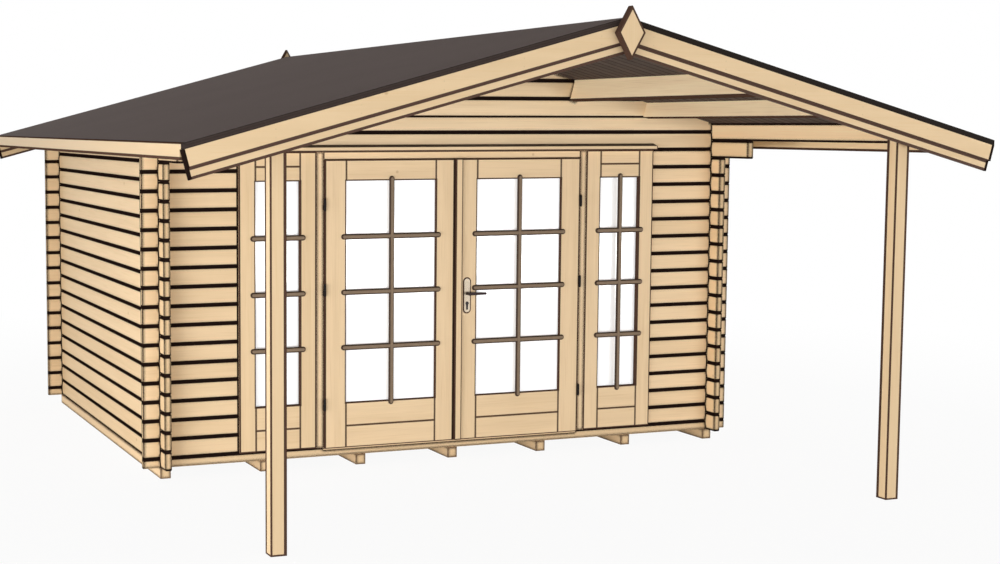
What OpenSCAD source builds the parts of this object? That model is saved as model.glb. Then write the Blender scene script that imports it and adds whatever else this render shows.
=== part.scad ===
// Wooden holiday cabin: stacked log walls that interlock at the corners, a
// symmetric gable roof carried forward as a canopy on two posts, and a glazed
// front unit with two fixed windows beside a pair of outward-opening doors.
//
// Cabin frame used inside the modules: x = 0 is the middle of the front,
// y = 0 the outer face of the front wall and z = 0 the underside of the logs.
// placed() moves that frame so that the ground is z = 0 and the whole cabin,
// roof included, stands centred on the origin.

/* [Log walls] */
// Width over the outer faces of the side walls
wall_w = 4060; // [3380:4:5200]
// Length over the outer faces of the front and back walls
wall_l = 3120; // [2200:10:5000]
// Height of one course of logs
log_h = 121; // [100:0.5:146]
// Thickness of the logs
log_t = 44; // [36:1:70]
// Full courses in a side wall, wall plate included
log_rows = 18; // [17:1:20]
// Depth of the chamfers that make the V joint between two courses
vee = 6; // [2:0.5:8]
// Depth of the chamfers of the joint over the lowest gable log
fine_vee = 2; // [1:0.5:4]
// Height of the lowest gable log
gable_log_h = 104.5; // [80:0.5:145]
// Length of the log ends that run on past a corner
stub = 110; // [60:5:200]
// Side play of a corner notch round the log that it takes
notch_play = 1; // [0.5:0.5:2]

/* [Roof] */
// Pitch of both roof slopes in degrees
pitch = 15; // [10:1:25]
// Reach of the canopy boards in front of the front wall
canopy_reach = 2188; // [1200:2:3000]
// Reach of the roof boards behind the back wall
rear_reach = 268; // [150:2:600]
// Reach of the roof boards beyond the side walls
eave_reach = 440; // [300:4:600]
// Thickness of the roof boards
board_t = 18; // [16:1:28]
// Thickness of the layered roof covering
cover_t = 14; // [6:1:20]
// Thickness of the covering where it is turned down over the verges
lip_t = 3; // [2:0.5:5]
// Distance from the ridge to the upper edge of the inner purlins
inner_purlin_x = 895; // [500:5:1000]
// Distance from the ridge to the upper edge of the outer purlins
outer_purlin_x = 1458; // [1200:2:1500]
// Width of a purlin
purlin_w = 45; // [36:1:80]
// Depth of the ridge purlin and the inner purlins
purlin_d = 140; // [90:1:180]
// Depth of the outer purlins
outer_purlin_d = 102; // [80:1:140]
// Length of the bracket logs that carry the wall plates in front
bracket_reach = 436; // [200:1:800]

/* [Verges and eaves] */
// Thickness of the barge boards
barge_t = 18; // [14:1:28]
// Depth of the barge boards
barge_d = 155; // [120:1:200]
// Thickness of the cap boards on the barge boards
cap_t = 16; // [12:1:24]
// Depth of the cap boards
cap_d = 94; // [60:1:120]
// Thickness of the eave boards
eave_t = 18; // [14:1:28]
// Depth of the eave boards
eave_d = 88; // [70:1:140]
// Height of the ridge diamonds
diamond_h = 288; // [200:2:340]
// Width of the ridge diamonds
diamond_w = 164; // [100:2:200]
// Thickness of the ridge diamonds
diamond_t = 45; // [12:1:60]
// Drop of the middle of a diamond below the underside of the boards at the ridge
diamond_drop = 52; // [20:1:80]

/* [Posts, joists and floor] */
// Side of the square canopy posts
post_w = 90; // [70:2:140]
// Distance from the roof's front edge back to the posts
post_back = 130; // [60:2:600]
// Height of the floor joists
joist_h = 70; // [40:1:120]
// Width of the floor joists
joist_w = 66; // [40:1:90]
// Number of floor joists
joist_n = 7; // [5:1:9]
// Thickness of the floor boards
floor_t = 19; // [16:1:28]
// Gap between the floor and the walls
floor_gap = 4; // [2:1:12]

/* [Front unit] */
// Visible width of the stiles of the fixed windows
window_stile = 111; // [70:1:130]
// Width of the glass of a fixed window
window_glass_w = 302; // [200:2:360]
// Height of the rail over the glass of a fixed window
window_rail_h = 95; // [60:1:110]
// Visible width of the door jambs
jamb_w = 50; // [40:1:70]
// Width of the doorway between the jambs
doorway_w = 1870; // [1400:10:1960]
// Height of the visible face of the door head
head_h = 46; // [36:1:60]
// Gap between the front unit and the log over it
unit_gap = 2; // [1:0.5:5]
// Projection of the frames in front of and behind the logs
frame_proud = 16; // [8:1:24]
// Depth of the grooves in the frames that clasp the log ends
clasp = 24; // [12:1:32]
// Height of the glass above the underside of the logs
glass_z = 355; // [280:5:600]
// Height of the joint between the two rails under the glass
rail_joint_z = 200; // [140:5:240]
// Chamfer on the edges of the stiles, rails and posts
arris = 3; // [1:0.5:5]
// Projection of the drip board over the front unit
drip_proud = 58; // [50:2:80]
// Height of the drip board over the front unit
drip_h = 42; // [24:1:60]
// Reach of the drip board beyond the front unit
drip_over = 6; // [0:1:40]

/* [Door leaves] */
// Thickness of the door leaves
leaf_t = 44; // [36:1:56]
// Projection of the leaves in front of the frames
leaf_proud = 12; // [8:1:20]
// Gap round the door leaves
leaf_gap = 5; // [5:0.5:8]
// Gap between the two leaves where they meet
meeting_gap = 7; // [6:0.5:10]
// Distance from the middle of the doorway to the meeting gap on its left
meeting_off = 9; // [0:1:30]
// Drop of the leaves below the top of the sill log
sill_drop = 4; // [2:0.5:12]
// Width of a stile of a door leaf
leaf_stile = 148; // [120:1:180]
// Extra width of the left leaf's inner stile hidden by the cover strip
hidden_stile = 14; // [0:1:20]
// Height of the top rail of a door leaf
leaf_rail_h = 138.5; // [110:0.5:180]
// Width of the cover strip on the meeting edge of the right leaf
strip_w = 50; // [30:1:60]
// Thickness of the cover strip
strip_t = 14; // [8:1:20]
// Thickness of the panes
pane_t = 4; // [3:0.5:6]
// How far the panes sit in their grooves
pane_bite = 10; // [6:1:14]

/* [Hinges and handle] */
// Radius of the hinge barrels
barrel_r = 8; // [6:0.5:10]
// Height of a hinge
hinge_h = 84; // [60:2:120]
// Radius of the hinge pins
hinge_pin_r = 3.5; // [2.5:0.5:5]
// Radial play of the hinge pins
hinge_play = 0.08; // [0.05:0.01:0.1]
// Distance of the outer hinges from the ends of a leaf
hinge_inset = 291; // [150:1:350]
// Distance of the middle hinge below the upper one
hinge_drop = 554; // [300:2:700]
// Width of the arms that carry the barrels
arm_w = 6; // [4:0.5:10]
// Height of the lever above the underside of the logs
lever_z = 1043; // [900:1:1150]
// Length of the lever beyond its spindle
lever_l = 124; // [90:2:150]
// Distance of the lever from the door leaf
lever_reach = 48; // [36:1:60]
// Thickness of the lever's grip
grip_t = 14; // [10:1:18]
// Distance from the edge of the leaf to the spindle
backset = 90; // [70:1:100]
// Radius of the lever's boss
boss_r = 10; // [8:0.5:14]
// Height of the handle plates
plate_h = 226; // [180:2:260]
// Width of the handle plates
plate_w = 42; // [34:1:50]
// Thickness of the handle plates
plate_t = 4; // [2:0.5:6]
// Drop of the middle of a plate below the lever
plate_drop = 13; // [0:1:30]
// Distance of the keyhole below the lever
key_drop = 66; // [50:1:72]

/* [Hidden] */
$fn = 32;

wood = "burlywood";
log_wood = "tan";
trim_wood = "wheat";
steel = "dimgray";

// Clearance between the bevelled pieces and the sloping boards that they carry
seat = 0.1;
// Half of the joint along the ridge
ridge_gap = 0.5;
// Play of the panes and the log ends in their grooves
groove_play = 0.5;

half_w = wall_w / 2;
inner_x = half_w - log_t;
plate_top = log_rows * log_h;
// Underside of the roof boards at the ridge
ridge_z = plate_top + inner_x * tan(pitch);
half_span = half_w + eave_reach;
eave_x = half_span + eave_t;
roof_t = board_t + cover_t;

// Faces of the roof from front to back
roof_front = -canopy_reach;
roof_rear = wall_l + rear_reach;
verge_t = barge_t + cap_t;
verge_front = roof_front - lip_t;
verge_rear = roof_rear + lip_t;
beam_front = verge_front + verge_t;
beam_rear = verge_rear - verge_t;
front_y = verge_front - diamond_t;
rear_y = verge_rear + diamond_t;

// Front unit: two fixed windows, the jambs and the doorway between them
unit_top = (log_rows - 1.5) * log_h - unit_gap;
sill_top = log_h / 2;
jamb_x = doorway_w / 2;
window_in = jamb_x + jamb_w;
glass_in = window_in + window_stile;
glass_out = glass_in + window_glass_w;
window_out = glass_out + window_stile;
frame_front = -frame_proud;
frame_back = log_t + frame_proud;

// Door leaves
leaf_front = frame_front - leaf_proud;
leaf_back = leaf_front + leaf_t;
leaf_mid = (leaf_front + leaf_back) / 2;
head_z = unit_top - head_h;
leaf_bottom = sill_top - sill_drop;
leaf_top = head_z - leaf_gap;
glass_top = leaf_top - leaf_rail_h;
stop_w = 16;
stop_y = leaf_back + leaf_gap;
threshold_t = 10;
threshold_z = leaf_bottom - leaf_gap - threshold_t;
left_leaf_x = [-jamb_x + leaf_gap, -meeting_off - meeting_gap / 2];
right_leaf_x = [-meeting_off + meeting_gap / 2, jamb_x - leaf_gap];
left_glass = [left_leaf_x[0] + leaf_stile, left_leaf_x[1] - leaf_stile + hidden_stile];
right_glass = [right_leaf_x[0] + leaf_stile + hidden_stile, right_leaf_x[1] - leaf_stile];

// Hinges and handle
hinge_x = jamb_x - leaf_gap / 2;
hinge_y = leaf_front - barrel_r - 1;
half_hinge = hinge_h / 2;
upper_hinge_z = leaf_top - hinge_inset;
hinge_z = [leaf_bottom + hinge_inset, upper_hinge_z - hinge_drop, upper_hinge_z];
handle_x = right_leaf_x[0] + backset;
plate_z = lever_z - plate_drop;
key_z = lever_z - key_drop;

// ---------- helpers ----------
module placed() {
    translate([0, -(front_y + rear_y) / 2, joist_h]) children();
}

// A flat outline in x and z, extruded from y0 to y1
module along_y(y0, y1) {
    translate([0, y1, 0]) rotate([90, 0, 0]) linear_extrude(height = y1 - y0) children();
}

// A flat outline in y and z, extruded from x0 to x1
module along_x(x0, x1) {
    translate([x0, 0, 0]) rotate([90, 0, 90]) linear_extrude(height = x1 - x0) children();
}

module block(x, y, z) {
    translate([x[0], y[0], z[0]]) cube([x[1] - x[0], y[1] - y[0], z[1] - z[0]]);
}

module both_sides() {
    children();
    mirror([1, 0, 0]) children();
}

// A rectangle with its four corners eased by the arris
module eased(a, b) {
    polygon([
        [a[0] + arris, b[0]], [a[1] - arris, b[0]], [a[1], b[0] + arris], [a[1], b[1] - arris],
        [a[1] - arris, b[1]], [a[0] + arris, b[1]], [a[0], b[1] - arris], [a[0], b[0] + arris]
    ]);
}

// A stile or post with eased long edges
module upright(x, y, z) {
    translate([0, 0, z[0]]) linear_extrude(height = z[1] - z[0]) eased(x, y);
}

// A rail with eased long edges
module rail(x, y, z) {
    along_x(x[0], x[1]) eased(y, z);
}

// Height of what lies against the underside of the roof boards at x
function roof_under(x) = ridge_z - seat - abs(x) * tan(pitch);

// Outline below the underside of the roof boards
module under_roof(half, bottom) {
    polygon([
        [-half, bottom], [half, bottom], [half, roof_under(half)],
        [0, roof_under(0)], [-half, roof_under(half)]
    ]);
}

// One course: a plank on edge with chamfered long edges
module log_outline(z0, z1, low = vee, high = vee) {
    polygon([
        [0, z0 + low], [low, z0], [log_t - low, z0], [log_t, z0 + low],
        [log_t, z1 - high], [log_t - high, z1], [high, z1], [0, z1 - high]
    ]);
}

// Stacked courses between the heights in the list
module log_stack(heights) {
    for (i = [0 : len(heights) - 2]) log_outline(heights[i], heights[i + 1]);
}

// The side walls carry whole courses; the front and back start with half a
// course, so that the two sets interlock by a quarter course at each corner.
side_courses = [for (i = [0 : log_rows - 1]) i * log_h];
end_courses = [for (i = [0 : log_rows - 2]) (i + 0.5) * log_h];
header_z = (log_rows - 1.5) * log_h;
gable_z = header_z + log_h;
gable_rows = ceil((ridge_z - gable_z - gable_log_h) / log_h);
gable_courses = [for (i = [0 : gable_rows]) gable_z + gable_log_h + i * log_h];

// Gaps in a side wall where the front and back logs pass through
module side_notches() {
    for (y0 = [0, wall_l - log_t])
        for (i = [0 : log_rows - 1])
            block(
                [inner_x - 1, half_w + 1],
                [y0 - notch_play, y0 + log_t + notch_play],
                [i == 0 ? -1 : (i - 0.25) * log_h, (i + 0.25) * log_h]
            );
}

// Gaps in a front or back wall where the side logs pass through
module end_notches(y0, rows) {
    both_sides()
        for (i = rows)
            block(
                [inner_x - notch_play, half_w + notch_play],
                [y0 - 1, y0 + log_t + 1],
                [(i + 0.25) * log_h, (i + 0.75) * log_h]
            );
}

// ---------- base and floor ----------
module floor_joists() {
    step = (wall_w - joist_w) / (joist_n - 1);
    color(wood) placed()
        for (i = [0 : joist_n - 1])
            block([-half_w + i * step, -half_w + i * step + joist_w], [0, wall_l], [-joist_h, 0]);
}

module floor_deck() {
    x = inner_x - floor_gap;
    color(wood) placed()
        block([-x, x], [log_t + floor_gap, wall_l - log_t - floor_gap], [0, floor_t]);
}

// ---------- walls ----------
module front_sill() {
    color(log_wood) placed()
        difference() {
            along_x(-half_w - stub, half_w + stub) log_outline(0, sill_top);
            end_notches(0, [0]);
            block([-jamb_x, jamb_x], [-1, log_t + 1], [threshold_z, sill_top + 1]);
        }
}

// Logs between the right-hand corner and the front unit
module front_wall_side() {
    difference() {
        along_x(window_out - clasp + 1, half_w + stub) log_stack(end_courses);
        end_notches(0, [0 : log_rows - 2]);
    }
}

module front_wall_right() {
    color(log_wood) placed() front_wall_side();
}

module front_wall_left() {
    color(log_wood) placed() mirror([1, 0, 0]) front_wall_side();
}

// Opening for a purlin that leans with the roof, run up through the roof line
module purlin_gap(x, d) {
    translate([x, roof_under(x)]) rotate(-pitch)
        translate([-notch_play, -d - notch_play])
            square([purlin_w + 2 * notch_play, 2 * d]);
}

// Openings in a gable for the five purlins
module purlin_gaps() {
    w = purlin_w + 2 * notch_play;
    both_sides() {
        purlin_gap(inner_purlin_x, purlin_d);
        purlin_gap(outer_purlin_x, outer_purlin_d);
    }
    translate([-w / 2, ridge_z - purlin_d - notch_play]) square([w, 2 * purlin_d]);
}

// The ridge purlin stands plumb, with its top planed to both slopes
module ridge_outline() {
    half = purlin_w / 2;
    polygon([
        [-half, ridge_z - purlin_d], [half, ridge_z - purlin_d],
        [half, roof_under(half)], [0, roof_under(0)], [-half, roof_under(half)]
    ]);
}

// Header log and the gable logs over it, from the wall's outer face at y0
module gable(y0) {
    half = inner_x - notch_play;
    difference() {
        union() {
            along_x(-half_w - stub, half_w + stub)
                translate([y0, 0]) log_outline(header_z, gable_z);
            intersection() {
                along_x(-half, half) translate([y0, 0]) {
                    log_outline(gable_z, gable_courses[0], vee, fine_vee);
                    log_outline(gable_courses[0], gable_courses[1], fine_vee, vee);
                    log_stack([for (i = [1 : gable_rows]) gable_courses[i]]);
                }
                along_y(y0 - 1, y0 + log_t + 1) under_roof(half, gable_z - 1);
            }
        }
        end_notches(y0, [log_rows - 2, log_rows - 1]);
        along_y(y0 - 1, y0 + log_t + 1) purlin_gaps();
    }
}

module front_gable() {
    color(log_wood) placed() gable(0);
}

module back_gable() {
    color(log_wood) placed() gable(wall_l - log_t);
}

module back_wall() {
    color(log_wood) placed()
        difference() {
            along_x(-half_w - stub, half_w + stub)
                translate([wall_l - log_t, 0]) log_stack(concat([0], end_courses));
            end_notches(wall_l - log_t, [0 : log_rows - 2]);
        }
}

module side_wall() {
    top = len(side_courses) - 1;
    difference() {
        union() {
            along_y(-stub, wall_l + stub)
                translate([inner_x, 0]) log_stack(side_courses);
            along_y(-bracket_reach, 0)
                translate([inner_x, 0]) log_outline(side_courses[top - 1], side_courses[top]);
        }
        side_notches();
    }
}

module right_wall() {
    color(log_wood) placed() side_wall();
}

module left_wall() {
    color(log_wood) placed() mirror([1, 0, 0]) side_wall();
}

// Top log of a side wall, bevelled to the roof and run out under both verges
module wall_plate() {
    difference() {
        intersection() {
            along_y(beam_front, beam_rear)
                translate([inner_x, 0]) log_outline(plate_top - log_h, plate_top + vee);
            along_y(beam_front - 1, beam_rear + 1) under_roof(half_w + 1, 0);
        }
        side_notches();
    }
}

module right_wall_plate() {
    color(log_wood) placed() wall_plate();
}

module left_wall_plate() {
    color(log_wood) placed() mirror([1, 0, 0]) wall_plate();
}

// ---------- roof ----------
module ridge_purlin() {
    color(wood) placed() along_y(beam_front, beam_rear) ridge_outline();
}

module side_purlins() {
    color(wood) placed()
        along_y(beam_front, beam_rear)
            both_sides()
                for (p = [[inner_purlin_x, purlin_d], [outer_purlin_x, outer_purlin_d]])
                    translate([p[0], roof_under(p[0])]) rotate(-pitch)
                        translate([0, -p[1]]) square([purlin_w, p[1]]);
}

// Band of the right-hand slope between two heights square to its underside,
// from the ridge to a plumb cut at x_end
module slope_band(v0, v1, x_end) {
    intersection() {
        translate([0, ridge_z]) rotate(-pitch)
            translate([-log_h, v0]) square([half_span * 1.2, v1 - v0]);
        translate([ridge_gap, 0]) square([x_end - ridge_gap, ridge_z + 2 * log_h]);
    }
}

// The same band with its lower end cut square to the slope
module square_band(v0, v1, u_end) {
    intersection() {
        translate([0, ridge_z]) rotate(-pitch)
            translate([-log_h, v0]) square([log_h + u_end, v1 - v0]);
        translate([ridge_gap, 0]) square([half_span * 2, ridge_z + 2 * log_h]);
    }
}

module roof_boards_right() {
    color(wood) placed() along_y(roof_front, roof_rear) slope_band(0, board_t, half_span);
}

module roof_boards_left() {
    color(wood) placed() mirror([1, 0, 0])
        along_y(roof_front, roof_rear) slope_band(0, board_t, half_span);
}

// Covering on the boards, turned down over the board ends at both verges
module roof_cover() {
    along_y(roof_front, roof_rear) slope_band(board_t, roof_t, half_span);
    along_y(verge_front, roof_front) slope_band(0, roof_t, eave_x);
    along_y(roof_rear, verge_rear) slope_band(0, roof_t, eave_x);
}

module roof_cover_right() {
    color("dimgray") placed() roof_cover();
}

module roof_cover_left() {
    color("dimgray") placed() mirror([1, 0, 0]) roof_cover();
}

// Board on the ends of the roof boards, notched over the verge boards
module eave_board() {
    top = ridge_z + roof_t / cos(pitch) - half_span * tan(pitch);
    fall = eave_t * tan(pitch);
    under_boards = ridge_z - half_span * tan(pitch);
    difference() {
        along_y(roof_front, roof_rear)
            polygon([
                [half_span + seat, top - eave_d], [eave_x, top - eave_d],
                [eave_x, top - fall], [half_span + seat, top]
            ]);
        for (y = [[roof_front - 1, beam_front], [beam_rear, roof_rear + 1]])
            block([half_span, eave_x + 1], y, [top - eave_d - 1, under_boards]);
    }
}

module eave_board_right() {
    color(trim_wood) placed() eave_board();
}

module eave_board_left() {
    color(trim_wood) placed() mirror([1, 0, 0]) eave_board();
}

// Pair of verge boards under the roof boards, out to the face of the eave boards
module verge_pair(y0, y1, depth) {
    both_sides() along_y(y0, y1) square_band(-seat - depth, -seat, eave_x / cos(pitch));
}

module barge_boards_front() {
    color(trim_wood) placed() verge_pair(beam_front - barge_t, beam_front, barge_d);
}

module cap_boards_front() {
    color(trim_wood) placed() verge_pair(verge_front, verge_front + cap_t, cap_d);
}

module barge_boards_rear() {
    color(trim_wood) placed() verge_pair(beam_rear, beam_rear + barge_t, barge_d);
}

module cap_boards_rear() {
    color(trim_wood) placed() verge_pair(verge_rear - cap_t, verge_rear, cap_d);
}

module ridge_diamond(y0) {
    mid = ridge_z - diamond_drop;
    color(trim_wood) placed()
        along_y(y0, y0 + diamond_t)
            polygon([
                [0, mid - diamond_h / 2], [diamond_w / 2, mid],
                [0, mid + diamond_h / 2], [-diamond_w / 2, mid]
            ]);
}

module ridge_diamond_front() {
    ridge_diamond(front_y);
}

module ridge_diamond_rear() {
    ridge_diamond(rear_y - diamond_t);
}

// ---------- posts ----------
// Post beside the wall plate, bevelled under the roof boards
module post() {
    x = [inner_x - post_w, inner_x];
    y0 = roof_front + post_back;
    intersection() {
        upright(x, [y0, y0 + post_w], [-joist_h, ridge_z]);
        along_y(y0 - 1, y0 + post_w + 1) under_roof(half_w, -joist_h - 1);
    }
}

module post_right() {
    color(wood) placed() post();
}

module post_left() {
    color(wood) placed() mirror([1, 0, 0]) post();
}

// ---------- fixed windows ----------
// Groove round a pane in a frame, with play at its edges
module pane_groove(x, y_mid) {
    block(
        [x[0] - pane_bite - groove_play, x[1] + pane_bite + groove_play],
        [y_mid - pane_t / 2 - groove_play, y_mid + pane_t / 2 + groove_play],
        [glass_z - pane_bite - groove_play, glass_top + pane_bite + groove_play]
    );
}

// A pane standing on the bottom of its groove
module pane(x, y_mid) {
    block(
        [x[0] - pane_bite, x[1] + pane_bite],
        [y_mid - pane_t / 2, y_mid + pane_t / 2],
        [glass_z - pane_bite - groove_play, glass_top + pane_bite]
    );
}

module window_frame() {
    glass = [glass_in, glass_out];
    y = [frame_front, frame_back];
    levels = [sill_top, rail_joint_z, glass_z, glass_top, glass_top + window_rail_h, unit_top];
    difference() {
        union() {
            for (x = [window_in, glass_out])
                upright([x, x + window_stile], y, [sill_top, unit_top]);
            for (i = [0, 1, 3, 4]) rail(glass, y, [levels[i], levels[i + 1]]);
        }
        // Groove round the log ends
        block(
            [window_out - clasp, window_out + 1],
            [-groove_play, log_t + groove_play],
            [sill_top - 1, unit_top + 1]
        );
        pane_groove(glass, log_t / 2);
    }
}

module window_frame_right() {
    color(trim_wood) placed() window_frame();
}

module window_frame_left() {
    color(trim_wood) placed() mirror([1, 0, 0]) window_frame();
}

module window_panes() {
    color("azure") placed() both_sides() pane([glass_in, glass_out], log_t / 2);
}

// ---------- door frame ----------
// Jambs, with the stop that the leaves close against
module door_jambs() {
    color(trim_wood) placed() both_sides() {
        block([jamb_x, window_in], [frame_front, frame_back], [sill_top, unit_top]);
        block(
            [jamb_x - stop_w, jamb_x],
            [stop_y, frame_back],
            [threshold_z + threshold_t, head_z - stop_w]
        );
    }
}

module door_head() {
    color(trim_wood) placed()
        along_x(-jamb_x, jamb_x)
            polygon([
                [frame_front, head_z], [stop_y, head_z], [stop_y, head_z - stop_w],
                [frame_back, head_z - stop_w], [frame_back, unit_top], [frame_front, unit_top]
            ]);
}

// Board let into the sill log, flush with its outer face
module threshold() {
    color(trim_wood) placed()
        block([-jamb_x, jamb_x], [0, frame_back], [threshold_z, threshold_z + threshold_t]);
}

// Board over the front unit, sloped to shed water
module drip_board() {
    fall = drip_h * 0.4;
    color(trim_wood) placed()
        along_x(-window_out - drip_over, window_out + drip_over)
            polygon([
                [0, header_z], [-drip_proud, header_z],
                [-drip_proud, header_z + drip_h - fall], [0, header_z + drip_h]
            ]);
}

// ---------- door leaves ----------
module leaf_frame(x, glass) {
    y = [leaf_front, leaf_back];
    difference() {
        union() {
            upright([x[0], glass[0]], y, [leaf_bottom, leaf_top]);
            upright([glass[1], x[1]], y, [leaf_bottom, leaf_top]);
            rail(glass, y, [leaf_bottom, rail_joint_z]);
            rail(glass, y, [rail_joint_z, glass_z]);
            rail(glass, y, [glass_top, leaf_top]);
        }
        pane_groove(glass, leaf_mid);
    }
}

module left_leaf() {
    color(wood) placed() leaf_frame(left_leaf_x, left_glass);
}

module right_leaf() {
    color(wood) placed()
        difference() {
            leaf_frame(right_leaf_x, right_glass);
            for (z = [lever_z, key_z])
                translate([handle_x, leaf_front - 1, z]) rotate([-90, 0, 0])
                    cylinder(h = leaf_t + 2, r = boss_r - 1);
        }
}

module left_leaf_pane() {
    color("azure") placed() pane(left_glass, leaf_mid);
}

module right_leaf_pane() {
    color("azure") placed() pane(right_glass, leaf_mid);
}

module cover_strip() {
    color(trim_wood) placed()
        translate([right_leaf_x[0], 0, leaf_bottom])
            linear_extrude(height = leaf_top - leaf_bottom)
                polygon([
                    [0, leaf_front], [0, leaf_front - strip_t + arris],
                    [arris, leaf_front - strip_t], [strip_w - arris, leaf_front - strip_t],
                    [strip_w, leaf_front - strip_t + arris], [strip_w, leaf_front]
                ]);
}

// ---------- hinges ----------
// Upper half of a hinge barrel, tapered at its end
module barrel() {
    taper = barrel_r / 2;
    rotate_extrude()
        polygon([
            [0, groove_play], [barrel_r, groove_play], [barrel_r, half_hinge - 2 * taper],
            [barrel_r - taper, half_hinge], [0, half_hinge]
        ]);
}

// Lower half on the right-hand jamb: barrel, pin and the arm that carries them
module frame_hinge(z) {
    translate([hinge_x, hinge_y, z]) {
        mirror([0, 0, 1]) barrel();
        cylinder(h = half_hinge * 0.8, r = hinge_pin_r);
        translate([0, 0, -1]) cylinder(h = 2, r = hinge_pin_r);
    }
    block(
        [jamb_x, jamb_x + arm_w],
        [hinge_y, frame_front],
        [z - half_hinge + barrel_r, z - groove_play]
    );
}

// Upper half on the right-hand leaf: barrel with the bore for the pin, and its arm
module leaf_hinge(z) {
    leaf_edge = jamb_x - leaf_gap;
    difference() {
        union() {
            translate([hinge_x, hinge_y, z]) barrel();
            block(
                [leaf_edge - arm_w, leaf_edge],
                [hinge_y, leaf_front],
                [z + groove_play, z + half_hinge - barrel_r]
            );
        }
        translate([hinge_x, hinge_y, z]) cylinder(h = half_hinge * 0.85, r = hinge_pin_r + hinge_play);
    }
}

module frame_hinges() {
    color(steel) placed() both_sides() for (z = hinge_z) frame_hinge(z);
}

module right_leaf_hinges() {
    color(steel) placed() for (z = hinge_z) leaf_hinge(z);
}

module left_leaf_hinges() {
    color(steel) placed() mirror([1, 0, 0]) for (z = hinge_z) leaf_hinge(z);
}

// ---------- handle ----------
// A bar with round ends, standing on end
module stadium(w, h) {
    square([w, h - w], center = true);
    for (side = [-1, 1]) translate([0, side * (h - w) / 2]) circle(r = w / 2);
}

// Round keyhole over a narrow slot, as for a profile cylinder
module keyhole() {
    hole_r = 8.5;
    slot_w = 10;
    slot_l = 24;
    circle(r = hole_r);
    translate([-slot_w / 2, -slot_l]) square([slot_w, slot_l]);
    translate([0, -slot_l]) circle(r = slot_w / 2);
}

module handle_plate(y0) {
    boss_play = 0.3;
    along_y(y0, y0 + plate_t)
        difference() {
            translate([handle_x, plate_z]) stadium(plate_w, plate_h);
            translate([handle_x, lever_z]) circle(r = boss_r + boss_play);
            translate([handle_x, key_z]) keyhole();
        }
}

module handle_plates() {
    color(steel) placed() {
        handle_plate(leaf_front - plate_t);
        handle_plate(leaf_back);
    }
}

// Grip that narrows to a round tip
module grip_outline() {
    tip_r = 8;
    circle(r = boss_r);
    polygon([[0, boss_r], [lever_l - tip_r, tip_r], [lever_l - tip_r, -tip_r], [0, -boss_r]]);
    translate([lever_l - tip_r, 0]) circle(r = tip_r);
}

// Two grips on bosses that turn in the plates, joined by the spindle
module lever() {
    spindle_r = 5;
    off = 0.5;
    color(steel) placed() {
        translate([handle_x, 0, lever_z]) {
            along_y(leaf_front - lever_reach, leaf_back + lever_reach) circle(r = spindle_r);
            along_y(leaf_front - lever_reach, leaf_front - off) circle(r = boss_r);
            along_y(leaf_back + off, leaf_back + lever_reach) circle(r = boss_r);
            for (y = [leaf_front - lever_reach, leaf_back + lever_reach - grip_t])
                along_y(y, y + grip_t) grip_outline();
        }
    }
}

floor_joists();
floor_deck();
front_sill();
front_wall_left();
front_wall_right();
front_gable();
back_wall();
back_gable();
left_wall();
right_wall();
left_wall_plate();
right_wall_plate();
ridge_purlin();
side_purlins();
roof_boards_left();
roof_boards_right();
roof_cover_left();
roof_cover_right();
eave_board_left();
eave_board_right();
barge_boards_front();
cap_boards_front();
barge_boards_rear();
cap_boards_rear();
ridge_diamond_front();
ridge_diamond_rear();
post_left();
post_right();
window_frame_left();
window_frame_right();
window_panes();
door_jambs();
door_head();
threshold();
drip_board();
frame_hinges();
left_leaf();
left_leaf_pane();
left_leaf_hinges();
right_leaf();
right_leaf_pane();
right_leaf_hinges();
cover_strip();
handle_plates();
lever();
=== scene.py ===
"""Looks of the wooden holiday cabin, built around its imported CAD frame."""

import math

import bmesh
import bpy
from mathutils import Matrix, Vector


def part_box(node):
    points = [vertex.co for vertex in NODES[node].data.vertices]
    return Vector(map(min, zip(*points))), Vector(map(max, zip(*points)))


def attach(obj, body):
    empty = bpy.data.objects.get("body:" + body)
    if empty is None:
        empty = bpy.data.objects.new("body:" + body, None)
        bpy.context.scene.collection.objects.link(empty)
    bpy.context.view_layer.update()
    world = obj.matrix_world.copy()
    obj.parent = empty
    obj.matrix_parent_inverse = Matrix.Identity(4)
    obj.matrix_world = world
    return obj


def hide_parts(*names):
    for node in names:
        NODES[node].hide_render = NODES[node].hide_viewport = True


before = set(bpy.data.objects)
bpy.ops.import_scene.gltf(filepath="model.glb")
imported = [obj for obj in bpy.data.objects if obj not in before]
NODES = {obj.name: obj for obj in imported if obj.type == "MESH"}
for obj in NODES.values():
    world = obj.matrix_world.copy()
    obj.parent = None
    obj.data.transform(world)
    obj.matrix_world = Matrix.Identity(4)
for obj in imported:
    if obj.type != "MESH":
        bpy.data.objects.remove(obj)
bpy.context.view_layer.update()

# ---------------------------------------------------------------- colours, linear
WOOD = (0.800, 0.600, 0.370)
# Darker copy of the wood for verges, posts and diamonds: painted shade where the lamps light them
# strongly
WOOD_PAINTED_SHADE = (0.690, 0.515, 0.315)
# Darker copy of the wood for the eave boards: painted shade on their well-lit outer faces
WOOD_EAVE_PAINTED_SHADE = (0.560, 0.418, 0.256)
# Paler copies of the wood for pieces that the roof shades, palest for the purlins deepest under it:
# painted light
WOOD_PAINTED_LIGHT = (0.840, 0.635, 0.400)
WOOD_RIGHT_PAINTED_LIGHT = (0.910, 0.690, 0.440)
WOOD_DEEP_PAINTED_LIGHT = (0.930, 0.725, 0.475)
WOOD_INNER_PAINTED_LIGHT = (1.000, 0.790, 0.530)
GRAIN = (0.640, 0.430, 0.215)
KNOT = (0.330, 0.165, 0.070)
COURSE_DARK = (0.940, 0.925, 0.900)
INK = (0.016, 0.009, 0.007)
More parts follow.
